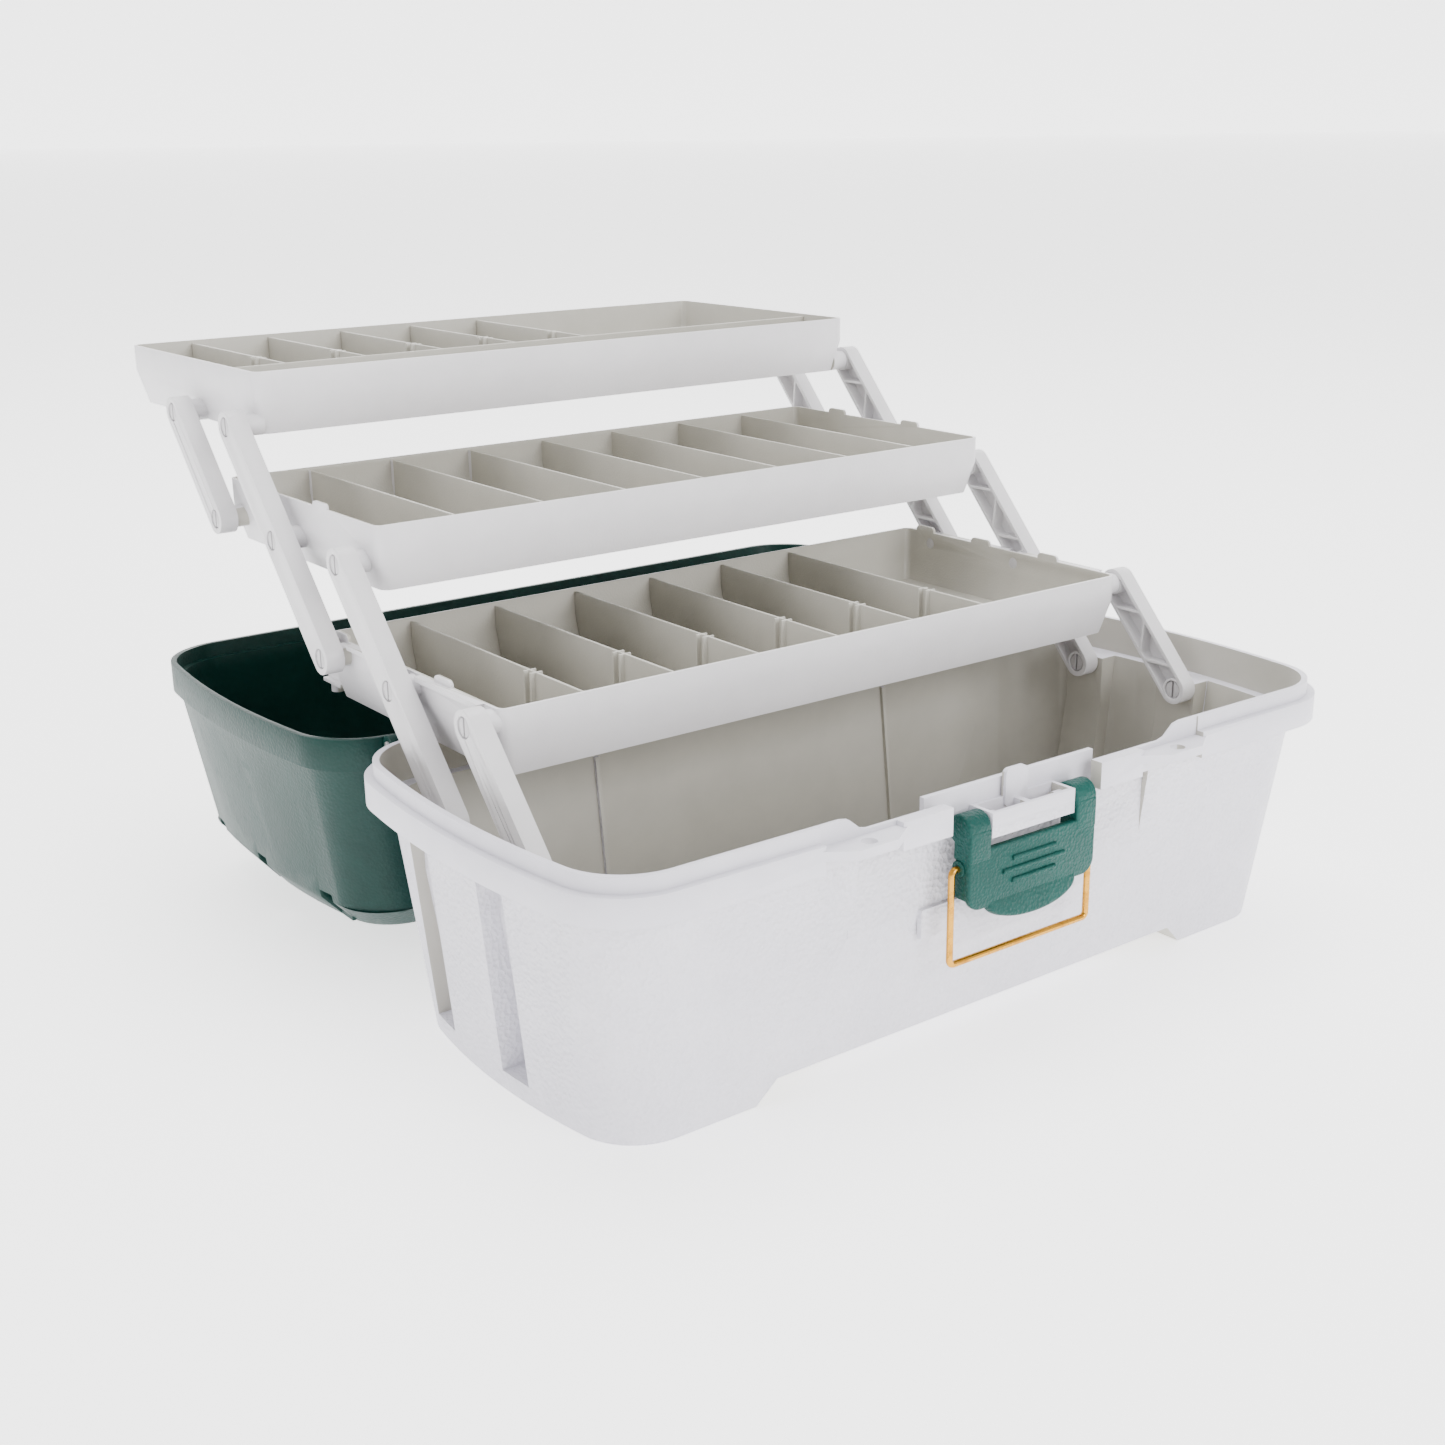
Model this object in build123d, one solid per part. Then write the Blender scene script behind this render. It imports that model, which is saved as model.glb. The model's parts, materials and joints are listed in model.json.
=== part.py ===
from build123d import *
import math
import os

# Three-tray fishing tackle box, shown open.
# +Z is up, +X runs along the box to its right end, -Y is the latch side.
# The origin is the middle of the footprint, on the surface the box stands on.
# Lengths are in millimetres and angles in degrees.

# ---- driving dimensions ----
flange_half_length = 220.6
flange_half_width = 103.2
flange_bottom = 103.0
flange_top = 115.3
rim_height = 122.0
rim_half_length = 217.1
rim_half_width = 99.7
floor_half_length = 202.0
floor_half_width = 82.0
body_top_half_length = 211.5
body_top_half_width = 94.2
end_bow = 10.0
corner_radius = 35.0
shell_wall = 2.6
foot_inner = 129.5
foot_height = 10.0

pivot_height = 101.4
front_pivot_y = -21.3
pivot_spacing = 65.6
arm_pitch = 64.4
arm_open_angle = 47.9
arm_width = 15.0
arm_inner_x = 188.0
arm_outer_x = 197.0
arm_skin = 2.4
arm_side_wall = 1.9
pin_radius = 3.0
pin_hole_radius = 3.08
pin_head_radius = 4.2
recess_radius = 4.75
recess_depth = 2.4
post_face_x = 197.6
post_half_width = 12.2
front_post_y = -15.5
rear_post_y = 46.5
slot_half_width = 9.6

tray_depth = 158.2
tray_height = 30.2
tray_wall = 1.7
tray_taper = 4.0
tray_straight = 13.0
bottom_overhang = 6.8
middle_overhang = 14.0
top_overhang = 7.5
bottom_tray_half = 183.5
middle_tray_half = 182.8
top_tray_half = 183.5
bottom_rim_rise = 6.2
middle_rim_rise = 17.3
top_rim_rise = 25.2
divider_thickness = 1.5
divider_spacing = 46.6

hinge_y = 108.7
hinge_z = 117.5
hinge_pin_radius = 1.6
lid_seat_gap = 0.3
lid_band_height = 15.0
lid_top = 217.0
lid_crown_half_length = 198.0
lid_crown_half_width = 90.0

latch_half_width = 37.5
latch_reach = 6.8
bay_half_width = 43.9
bay_back_y = -92.2
latch_pivot_y = -100.2
latch_pivot_z = 103.0
latch_pin_radius = 2.0
bail_pivot_z = 86.0
bail_half_width = 41.2
bail_wire_radius = 1.5
bail_drop = 42.5
pocket_half_width = 24.4
pocket_wall = 2.0
pad_x = 91.0
pad_hole_y = -105.3
pad_hole_radius = 3.4
pad_bottom = 109.2
pad_top = 113.2
pad_recess_back_y = -98.9
side_recess_half = 86.0
side_recess_back_y = -90.2
side_recess_bottom = 68.0
low_rim_height = 115.3
latch_bar_height = 117.6

handle_pivot_z = 225.3
handle_half_length = 78.0
handle_reach = 36.0

eps = 0.01


# ---- small building blocks ----
def block(x0, x1, y0, y1, z0, z1):
    """A box from its low and high corners."""
    size = (x1 - x0, y1 - y0, z1 - z0)
    middle = ((x0 + x1) / 2, (y0 + y1) / 2, (z0 + z1) / 2)
    return Pos(*middle) * Box(*size)


def x_rod(radius, x0, x1, y, z):
    """A round bar along X."""
    turn = Pos((x0 + x1) / 2, y, z) * Rot(0, 90, 0)
    return turn * Cylinder(radius, abs(x1 - x0))


def z_rod(radius, x, y, z0, z1):
    """A round bar along Z."""
    return Pos(x, y, (z0 + z1) / 2) * Cylinder(radius, z1 - z0)


def plan_outline(half_length, half_width, radius, z):
    """The box in plan: long sides straight, ends bowed out, corners round."""
    corner_x = half_length - end_bow
    with BuildSketch(Plane.XY.offset(z)) as plan:
        with BuildLine():
            Line((-corner_x, -half_width), (corner_x, -half_width))
            ThreePointArc((corner_x, -half_width), (half_length, 0), (corner_x, half_width))
            Line((corner_x, half_width), (-corner_x, half_width))
            ThreePointArc((-corner_x, half_width), (-half_length, 0), (-corner_x, -half_width))
        make_face()
        fillet(plan.vertices(), radius)
    return plan.sketch


def bowed_prism(half_length, half_width, radius, z0, z1):
    """An upright solid with the bowed plan."""
    return extrude(plan_outline(half_length, half_width, radius, z0), z1 - z0)


def bowed_taper(low, high, radius, z0, z1):
    """A drafted solid between two bowed plans, given as (half length, half width)."""
    bottom = plan_outline(low[0], low[1], radius, z0)
    top = plan_outline(high[0], high[1], radius, z1)
    return loft([bottom, top], ruled=True)


def rounded_plan(x0, x1, y0, y1, radius, z):
    """A rectangle with round corners."""
    middle = Pos((x0 + x1) / 2, (y0 + y1) / 2, z)
    return middle * RectangleRounded(x1 - x0, y1 - y0, radius)


def mirrored(solid):
    """The same piece on the other end of the box."""
    return mirror(solid, Plane.YZ)


def both_ends(make):
    """A left and a right copy of one piece, as separate solids."""
    right = make()
    return [mirrored(right), right]


def save(name, shape):
    """Write one node."""
    export_step(shape, f"parts/{name}.step")


def side_prism(points, y0, y1):
    """A polygon of (x, z) points, drawn out along Y."""
    face = Plane.XZ * make_face(Polyline(*points, close=True))
    return Pos(0, y1, 0) * extrude(face, y1 - y0)


# ---- base tub ----
def end_post(y):
    """The plastic of one arm post at the right end, before it is cored."""
    profile = [(187.0, shell_wall), (216.0, shell_wall), (216.0, 106.0),
               (post_face_x, 106.0), (post_face_x, 78.0)]
    return side_prism(profile, y - post_half_width, y + post_half_width)


def end_slot(y):
    """The core of one post: the tall recess that shows on the end wall."""
    points = [(189.8, 9.0), (240.0, 9.0), (240.0, 100.0), (200.2, 100.0), (200.2, 78.0)]
    return side_prism(points, y - slot_half_width, y + slot_half_width)


def latch_bay():
    """The flange and wall cut back for the latch lever, and less deeply on both sides of it."""
    top = rim_height + 1.0
    bay = block(-bay_half_width, bay_half_width, -130.0, bay_back_y, 56.0, top)
    half = side_recess_half
    return bay + block(-half, half, -130.0, side_recess_back_y, side_recess_bottom, flange_bottom - 3.0)


def low_rim():
    """What is cut off the front rim around the latch, with sloping ends."""
    slope = [(100.0, rim_height), (96.0, rim_height - 0.8), (90.0, low_rim_height + 1.0), (86.0, low_rim_height)]
    left = [(-x, z) for x, z in reversed(slope)]
    points = [(-100.0, rim_height + 1.0)] + left[::-1] + slope[::-1] + [(100.0, rim_height + 1.0)]
    return side_prism(points, -130.0, -88.0)


def catch_pocket():
    """Open-topped pocket that takes the lid's catch, with a tab at the middle of its back."""
    front = latch_pivot_y - 6.0
    back = latch_pivot_y + 10.0
    half = pocket_half_width
    pocket = block(-half, half, front, back, 98.0, 109.0)
    pocket -= block(-half + pocket_wall, half - pocket_wall, front + pocket_wall, back - 4.2, 100.2, 112.0)
    pocket += block(-1.6, 1.6, front + 1.0, back - 3.5, 100.0, 108.0)
    tab_face = Plane.XZ * Pos(0, 112.6) * RectangleRounded(13.0, 17.0, 2.6)
    return pocket + Pos(0, back - 2.8, 0) * extrude(tab_face, 2.6)


def padlock_pad(x):
    """A flat six-sided lug over a gap in the flange, with a padlock hole through it."""
    outline = Polyline((x - 22, -98.0), (x - 22, -103.2), (x - 10, -111.2), (x + 10, -111.2),
                       (x + 22, -103.2), (x + 22, -98.0), close=True)
    pad = Pos(0, 0, pad_bottom) * extrude(make_face(outline), pad_top - pad_bottom)
    return pad - z_rod(pad_hole_radius, x, pad_hole_y, 100.0, 120.0)


def hinge_knuckle_positions(first, count, pitch):
    """Knuckle centres along the rear edge."""
    return [first + pitch * i for i in range(count)]


base_knuckles = hinge_knuckle_positions(-150.0, 4, 100.0)
lid_knuckles = hinge_knuckle_positions(-175.4, 4, 100.0) + [175.4]
knuckle_half = 12.5


def base_tub():
    low = (floor_half_length, floor_half_width)
    high = (body_top_half_length, body_top_half_width)
    outside = bowed_taper(low, high, corner_radius - 6, 0, flange_bottom + 1)
    body = outside + bowed_prism(flange_half_length, flange_half_width, corner_radius, flange_bottom, flange_top)
    body += bowed_prism(rim_half_length, rim_half_width, corner_radius - 3, flange_bottom, rim_height)
    rise = (high[0] - low[0]) / (flange_bottom + 1)
    inner_low = (low[0] - shell_wall + rise * shell_wall, low[1] - shell_wall + rise * shell_wall)
    inner_high = (high[0] - shell_wall, high[1] - shell_wall)
    hollow = bowed_taper(inner_low, inner_high, corner_radius - 8, shell_wall, flange_bottom + 1)
    hollow -= block(-foot_inner - 2, foot_inner + 2, -150, 150, 0, foot_height + shell_wall)
    ledge = (rim_half_length - shell_wall, rim_half_width - shell_wall)
    hollow += bowed_prism(ledge[0], ledge[1], corner_radius - 5, flange_bottom + 1 - eps, rim_height + 1)
    body -= hollow
    rib_low = (inner_low[0] - 2.0, inner_low[1] - 2.0)
    rib_high = (inner_high[0] - 2.0, inner_high[1] - 2.0)
    rib_room = bowed_taper(rib_low, rib_high, corner_radius - 10, shell_wall, flange_bottom + 1)
    arch = [(-foot_inner, -1), (-foot_inner, 0), (-foot_inner + 10, foot_height),
            (foot_inner - 10, foot_height), (foot_inner, 0), (foot_inner, -1)]
    body -= side_prism(arch, -150, 150)
    inner_parts = block(-50.0, 50.0, bay_back_y, bay_back_y + shell_wall, 55.0, latch_bar_height)
    recess_wall = side_recess_half + shell_wall
    inner_parts += block(-recess_wall, recess_wall, side_recess_back_y, side_recess_back_y + shell_wall,
                         side_recess_bottom - shell_wall, flange_bottom + 1)
    for y in (front_post_y, rear_post_y):
        inner_parts += end_post(y) & outside
        inner_parts += mirrored(end_post(y)) & outside
    for x in (-90.0, 90.0):
        inner_parts += block(x - 1.2, x + 1.2, 70.0, 100.0, foot_height, 96.0) & outside - rib_room
    body -= low_rim()
    body += inner_parts
    for y in (front_post_y, rear_post_y):
        body -= end_slot(y)
        body -= mirrored(end_slot(y))
    for y in (base_front[0], base_rear[0]):
        hole = x_rod(pin_radius, post_face_x - 1, 201.0, y, pivot_height)
        body -= hole
        body -= mirrored(hole)
    body -= latch_bay()
    body += catch_pocket()
    for x in (-pad_x, pad_x):
        body -= block(x - 20.0, x + 20.0, -130.0, pad_recess_back_y, 90.0, rim_height + 1.0)
        body += padlock_pad(x)
    body += latch_pin_bosses()
    body -= x_rod(latch_pin_radius, -pocket_half_width - 1, -16.0, latch_pivot_y, latch_pivot_z)
    body -= x_rod(latch_pin_radius, 16.0, pocket_half_width + 1, latch_pivot_y, latch_pivot_z)
    for x in base_knuckles:
        web = block(x - knuckle_half, x + knuckle_half, flange_half_width - 3.0, hinge_y, 107.5, 115.0)
        web += x_rod(4.2, x - knuckle_half, x + knuckle_half, hinge_y, hinge_z)
        web -= x_rod(hinge_pin_radius, x - 14, x + 14, hinge_y, hinge_z)
        body += web
    return body


def latch_pin_bosses():
    """Round bosses inside the catch pocket that hold the lever's two pins."""
    right = x_rod(4.2, 17.5, pocket_half_width, latch_pivot_y, latch_pivot_z)
    return right + mirrored(right)


# ---- linkage points in the open pose, as (y, z) ----
def along_arm(start, levels):
    """The point a number of arm pitches up an arm."""
    angle = math.radians(arm_open_angle)
    return (start[0] + levels * arm_pitch * math.cos(angle),
            start[1] + levels * arm_pitch * math.sin(angle))


base_front = (front_pivot_y, pivot_height)
base_rear = (front_pivot_y + pivot_spacing, pivot_height)
bottom_front = along_arm(base_front, 1)
bottom_middle = along_arm(base_rear, 1)
bottom_rear = (bottom_middle[0] + pivot_spacing, bottom_middle[1])
middle_front = along_arm(bottom_middle, 1)
middle_middle = along_arm(bottom_rear, 1)
middle_rear = (middle_middle[0] + pivot_spacing, middle_middle[1])
top_front = along_arm(middle_middle, 1)
top_rear = along_arm(middle_rear, 1)

bottom_rim = bottom_front[1] + bottom_rim_rise
middle_rim = middle_front[1] + middle_rim_rise
top_rim = top_front[1] + top_rim_rise
bottom_y = bottom_front[0] - bottom_overhang
middle_y = middle_front[0] - middle_overhang
top_y = top_front[0] - top_overhang


# ---- lifting arms ----
def arm_profile(start, end, width, x):
    """A straight bar with round ends, in the plane across X."""
    length = math.dist(start, end)
    middle = Pos((start[0] + end[0]) / 2, (start[1] + end[1]) / 2)
    flat = middle * Rot(0, 0, arm_open_angle) * SlotOverall(length + width, width)
    return Plane.YZ.offset(x) * flat


def lifting_arm(start, end, outer_pivots, inner_pivots):
    """A channel-section arm, open towards the trays, with bosses at its pivots."""
    thickness = arm_outer_x - arm_inner_x
    arm = extrude(arm_profile(start, end, arm_width, arm_inner_x), thickness)
    channel = arm_profile(start, end, arm_width - 2 * arm_side_wall, arm_inner_x)
    core = extrude(channel, thickness - arm_skin)
    for y, z in outer_pivots + inner_pivots:
        core -= x_rod(5.9, arm_inner_x - 1, arm_outer_x, y, z)
    length = math.dist(start, end)
    count = max(2, round(length / 16.0))
    for step in range(1, count):
        share = step / count
        y = start[0] + (end[0] - start[0]) * share
        z = start[1] + (end[1] - start[1]) * share
        lean = 42.0 if step % 2 else -42.0
        rib = Pos(arm_inner_x + 3.6, y, z) * Rot(arm_open_angle + lean, 0, 0) * Box(7.2, 1.4, 18.0)
        core -= rib
    arm -= core
    for y, z in outer_pivots + inner_pivots:
        arm -= x_rod(pin_hole_radius, arm_inner_x - 1, arm_outer_x + 1, y, z)
    for y, z in outer_pivots:
        arm -= x_rod(recess_radius, arm_outer_x - recess_depth, arm_outer_x + 1, y, z)
    for y, z in inner_pivots:
        arm -= x_rod(recess_radius, arm_inner_x - 1, arm_inner_x + recess_depth, y, z)
    return arm


def tray_pin(half_length, y, z):
    """A snap pin: shank held in the tray wall, split head in the arm's recess."""
    head_start = arm_outer_x - recess_depth + 0.2
    pin = x_rod(pin_radius, half_length - tray_wall, head_start, y, z)
    pin += x_rod(pin_head_radius, head_start, arm_outer_x - 0.4, y, z)
    pin -= block(arm_outer_x - 6.0, arm_outer_x, y - 0.6, y + 0.6, z - 5.0, z + 5.0)
    return pin


def base_pin(y, z):
    """A snap pin held in a base post, with its split head on the inside of the arm."""
    head_start = arm_inner_x + recess_depth - 0.2
    pin = x_rod(pin_radius, head_start, 200.0, y, z)
    pin += x_rod(pin_head_radius, arm_inner_x + 0.4, head_start, y, z)
    pin -= block(arm_inner_x, arm_inner_x + 6.0, y - 0.6, y + 0.6, z - 5.0, z + 5.0)
    return pin


def pin_set(half_length, pivots):
    """Every pin of one tray, both ends, as separate solids."""
    pins = []
    for y, z in pivots:
        pins += both_ends(lambda: tray_pin(half_length, y, z))
    return Compound(children=pins)


# ---- trays ----
def tray_block(half_length, y0, rim, inset, floor_z):
    """A tray's outside (inset 0) or its inside: straight at the rim, tapered below."""
    knee = rim - tray_straight
    x = half_length - inset
    front = y0 + inset
    rear = y0 + tray_depth - inset
    upper = extrude(rounded_plan(-x, x, front, rear, 5.0 - inset, knee), tray_straight + eps * inset)
    low = rounded_plan(-x + tray_taper, x - tray_taper, front + tray_taper, rear - tray_taper,
                       5.0 - inset, floor_z)
    high = rounded_plan(-x, x, front, rear, 5.0 - inset, knee)
    return upper + loft([low, high], ruled=True)


def tray_shell(half_length, y0, rim, pivots):
    """Thin-walled tray with round bosses where the arms are pinned."""
    tray = tray_block(half_length, y0, rim, 0, rim - tray_height)
    for y, z in pivots:
        boss = x_rod(5.4, half_length - 5.0, arm_inner_x - 0.2, y, z)
        tray += boss
        tray += mirrored(boss)
    tray -= tray_block(half_length, y0, rim, tray_wall, rim - tray_height + tray_wall)
    tray -= block(-180.0, 180.0, y0 + 4, y0 + tray_depth - 4, rim - eps, rim + 5)
    for y, z in pivots:
        hole = x_rod(pin_radius, half_length - 6.0, arm_inner_x, y, z)
        tray -= hole
        tray -= mirrored(hole)
    return tray


def end_tab(half_length, y, rim, height):
    """A low rounded tab that stands on the rim of an end wall."""
    face = Plane.YZ * Pos(y, rim) * RectangleRounded(14.0, 2 * height, height * 0.8)
    tab = Pos(half_length - tray_wall, 0, 0) * extrude(face, tray_wall)
    return tab - block(150, 200, y - 9, y + 9, rim - 9, rim - 1.0)


def divider_plate(x, y0, y1, rim, joint_y):
    """A cross divider with an H-shaped joint part of the way along."""
    half = divider_thickness / 2
    foot = rim - tray_height + tray_wall
    lead = tray_taper + 0.4
    profile = Polyline((y0, rim - 1.5), (y0, rim - tray_straight), (y0 + lead, foot),
                       (y1 - lead, foot), (y1, rim - tray_straight), (y1, rim - 1.5), close=True)
    plate = Pos(x - half, 0, 0) * extrude(Plane.YZ * make_face(profile), divider_thickness)
    for side in (-2.6, 2.6):
        flange = block(x - 3.2, x + 3.2, joint_y + side - 0.6, joint_y + side + 0.6, foot, rim - 1.5)
        plate += flange
    return plate


def bottom_tray():
    pivots = [bottom_front, bottom_middle, bottom_rear]
    tray = tray_shell(bottom_tray_half, bottom_y, bottom_rim, pivots)
    lip = block(bottom_tray_half - 1, 187.0, bottom_y + 5, bottom_y + tray_depth - 5, bottom_rim - 2.2, bottom_rim)
    for y, z in pivots:
        lip -= x_rod(8.6, 180.0, 190.0, y, z)
    tray += lip
    tray += mirrored(lip)
    for share in (0.3, 0.62, 0.9):
        tab = end_tab(bottom_tray_half, bottom_y + tray_depth * share, bottom_rim, 3.0)
        tray += tab
        tray += mirrored(tab)
    bracket = tray_bracket()
    tray += bracket
    tray += mirrored(bracket)
    return tray


def tray_bracket():
    """Gusset with a round peg behind the bottom tray's end, the stop for the open pose."""
    y = bottom_y + tray_depth
    z = bottom_rim - tray_height
    x = bottom_tray_half
    profile = Polyline((y - 1.0, z + 2.0), (y - 1.0, z + 22.0), (y + 3.0, z + 22.0),
                       (y + 17.0, z + 5.0), (y + 17.0, z + 2.0), close=True)
    gusset = Pos(x - 9.0, 0, 0) * extrude(Plane.YZ * make_face(profile), 1.8)
    plate = block(x - 14.0, x - 4.5, y - 1.0, y + 17.0, z + 2.0, z + 3.8)
    peg = z_rod(3.2, x - 9.0, y + 11.0, z - 2.5, z + 2.5)
    return gusset + plate + peg


def middle_tray():
    pivots = [middle_front, middle_middle, middle_rear]
    tray = tray_shell(middle_tray_half, middle_y, middle_rim, pivots)
    for share in (0.35, 0.75):
        tab = end_tab(middle_tray_half, middle_y + tray_depth * share, middle_rim, 2.6)
        tray += tab
        tray += mirrored(tab)
    for step in range(7):
        x = (step - 3) * divider_spacing
        half = divider_thickness / 2
        inner = block(x - half, x + half, middle_y + 0.8, middle_y + tray_depth - 0.8,
                      middle_rim - tray_height + 0.8, middle_rim - 1.2)
        keep = tray_block(middle_tray_half, middle_y, middle_rim, 0.8, middle_rim - tray_height + 0.8)
        tray += inner & keep
    return tray


def top_tray():
    return tray_shell(top_tray_half, top_y, top_rim, [top_front, top_rear])


def top_long_divider():
    """The lengthwise wall that parts the top tray's front trough from its rear row."""
    inside = tray_wall + 0.15
    y = top_y + 35.5
    x = top_tray_half - inside
    foot = top_rim - tray_height + tray_wall
    profile = Polyline((-x, top_rim - 1.2), (-x, top_rim - tray_straight), (-x + tray_taper + 0.4, foot),
                       (x - tray_taper - 0.4, foot), (x, top_rim - tray_straight), (x, top_rim - 1.2), close=True)
    face = Plane.XZ * make_face(profile)
    return Pos(0, y + 0.8, 0) * extrude(face, 1.6)


# ---- lid, drawn closed and then turned open about its hinge ----
def opened(piece):
    """Turn a lid piece from closed to its open rest place, upside down behind the base."""
    axis = Axis((0, hinge_y, hinge_z), (1, 0, 0))
    return piece.rotate(axis, -180.0)


def lid_shell():
    seat = flange_top + lid_seat_gap
    band_top = seat + lid_band_height
    shoulder = lid_top - 12.0
    band = bowed_prism(flange_half_length, flange_half_width, corner_radius, seat, band_top)
    low = (flange_half_length - 3.0, flange_half_width - 3.0)
    mid = (lid_crown_half_length + 7.0, lid_crown_half_width + 5.0)
    high = (lid_crown_half_length, lid_crown_half_width)
    shell = band + bowed_taper(low, mid, corner_radius - 4, band_top, shoulder)
    crown_rim = (mid[0] - 10.0, mid[1] - 10.0)
    shell += bowed_taper(mid, crown_rim, corner_radius - 10, shoulder, lid_top)
    seat_hollow = bowed_prism(rim_half_length + 0.9, rim_half_width + 0.8, corner_radius - 2,
                              seat - 1, rim_height + 1.0)
    inner_low = (low[0] - shell_wall - 0.6, low[1] - shell_wall)
    inner_mid = (mid[0] - shell_wall, mid[1] - shell_wall)
    inner_rim = (crown_rim[0] - shell_wall, crown_rim[1] - shell_wall)
    hollow = bowed_prism(inner_low[0], inner_low[1], corner_radius - 6, seat - 1, band_top)
    hollow += bowed_taper(inner_low, inner_mid, corner_radius - 6, band_top, shoulder - 1.5)
    hollow += bowed_taper(inner_mid, inner_rim, corner_radius - 12, shoulder - 1.5, lid_top - shell_wall)
    shell -= hollow + seat_hollow
    for y in (-64.0, -4.0, 60.0):
        notch = block(lid_crown_half_length - 6, 230, y - 5, y + 5, lid_top - 16, lid_top + 1)
        shell -= notch
        shell -= mirrored(notch)
        patch = block(lid_crown_half_length - 10, lid_crown_half_length - 6, y - 7, y + 7,
                      lid_top - 20, lid_top - 1)
        shell += patch
        shell += mirrored(patch)
    shell += lid_catch()
    for x in lid_knuckles:
        shell += lid_knuckle(x)
    for x in (handle_half_length + 5.0, -handle_half_length - 5.0):
        shell += handle_bracket(x)
    return opened(shell)


def lid_catch():
    """Hook on the front of the lid that the wire bail pulls down on."""
    front = -flange_half_width - 5.0
    hook = block(-26.0, 26.0, front, front + 6.5, 121.0, 125.0)
    return hook + block(-26.0, 26.0, front, front + 1.6, 124.0, 128.0)


def lid_knuckle(x):
    web = block(x - knuckle_half, x + knuckle_half, flange_half_width - 2.0, hinge_y, 119.5, 126.0)
    web += x_rod(4.2, x - knuckle_half, x + knuckle_half, hinge_y, hinge_z)
    web -= x_rod(hinge_pin_radius + 0.07, x - 14, x + 14, hinge_y, hinge_z)
    return web


def handle_bracket(x):
    """Raised ear on the crown that holds one end of the carrying handle."""
    ear = block(x - 4.5, x + 4.5, -8.0, 8.0, lid_top - 1.5, handle_pivot_z)
    ear += x_rod(8.0, x - 4.5, x + 4.5, 0, handle_pivot_z)
    ear -= x_rod(pin_radius, x - 6, x + 6, 0, handle_pivot_z)
    return ear


def carry_handle():
    """Handle folded flat towards the latch side, drawn closed with the lid."""
    knuckle_x = handle_half_length - 6.5
    thickness = 17.5
    low = handle_pivot_z - 7.9
    grip = Pos(0, -handle_reach - 9.0, low) * extrude(RectangleRounded(2 * handle_half_length, 22, 8), thickness)
    handle = grip
    for side in (-1, 1):
        x = side * knuckle_x
        arm = block(x - 6.4, x + 6.4, -handle_reach - 6, 0, low, low + 13.0)
        arm += x_rod(7.9, x - 6.4, x + 6.4, 0, handle_pivot_z)
        arm -= x_rod(pin_hole_radius, x - 8, x + 8, 0, handle_pivot_z)
        handle += arm
    return opened(handle)


def handle_pins():
    start = handle_half_length - 12.9
    end = handle_half_length + 9.5
    return [opened(pin) for pin in both_ends(lambda: x_rod(pin_radius, start, end, 0, handle_pivot_z))]


# ---- latch ----
def latch_lever():
    """Lever plate with two round-topped legs, side flanges, ribs and a finger lip."""
    front = latch_pivot_y - latch_reach
    half = latch_half_width
    back = front + 10.0
    plate_top = 94.4
    plate_bottom = 68.0
    lever = block(-half, half, front, front + 3.4, plate_bottom, plate_top)
    for side in (-1, 1):
        leg_x = sorted((side * half, side * (pocket_half_width + 0.8)))
        flange_x = sorted((side * half, side * (half - 4.0)))
        lever += block(leg_x[0], leg_x[1], front, back, plate_top - 1.0, latch_pivot_z)
        lever += x_rod(latch_reach, leg_x[0], leg_x[1], latch_pivot_y, latch_pivot_z)
        lever += block(flange_x[0], flange_x[1], front, back, plate_bottom, plate_top)
    lip_profile = Polyline((front, 70.0), (front + 3.4, 70.0), (front + 3.4, 66.0), (front - 3.0, 61.5),
                           (front - 5.0, 62.5), (front - 1.0, 67.0), close=True)
    lever += Pos(-25.0, 0, 0) * extrude(Plane.YZ * make_face(lip_profile), 50.0)
    for z, half_rib in ((87.0, 14.0), (82.0, 19.0), (77.0, 14.0)):
        lever += block(-half_rib, half_rib, front - 1.0, front + 0.5, z - 0.8, z + 0.8)
    lever -= x_rod(latch_pin_radius + 0.07, -half + 2.0, half - 2.0, latch_pivot_y, latch_pivot_z)
    lever -= x_rod(bail_wire_radius + 0.08, -half - 1, half + 1, latch_pivot_y, bail_pivot_z)
    return lever


def latch_pins():
    return both_ends(lambda: x_rod(latch_pin_radius, 18.0, latch_half_width - 2.4, latch_pivot_y, latch_pivot_z))


def latch_bail():
    """Wire loop: two in-turned ends in the lever, two legs and a cross bar."""
    bottom = bail_pivot_z - bail_drop
    x = bail_half_width
    y = latch_pivot_y
    path = FilletPolyline((x - 6.6, y, bail_pivot_z), (x, y, bail_pivot_z), (x, y, bottom),
                          (-x, y, bottom), (-x, y, bail_pivot_z), (-x + 6.6, y, bail_pivot_z), radius=2.4)
    section = Plane(origin=path @ 0, z_dir=path % 0) * Circle(bail_wire_radius)
    return sweep(section, path)


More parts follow.
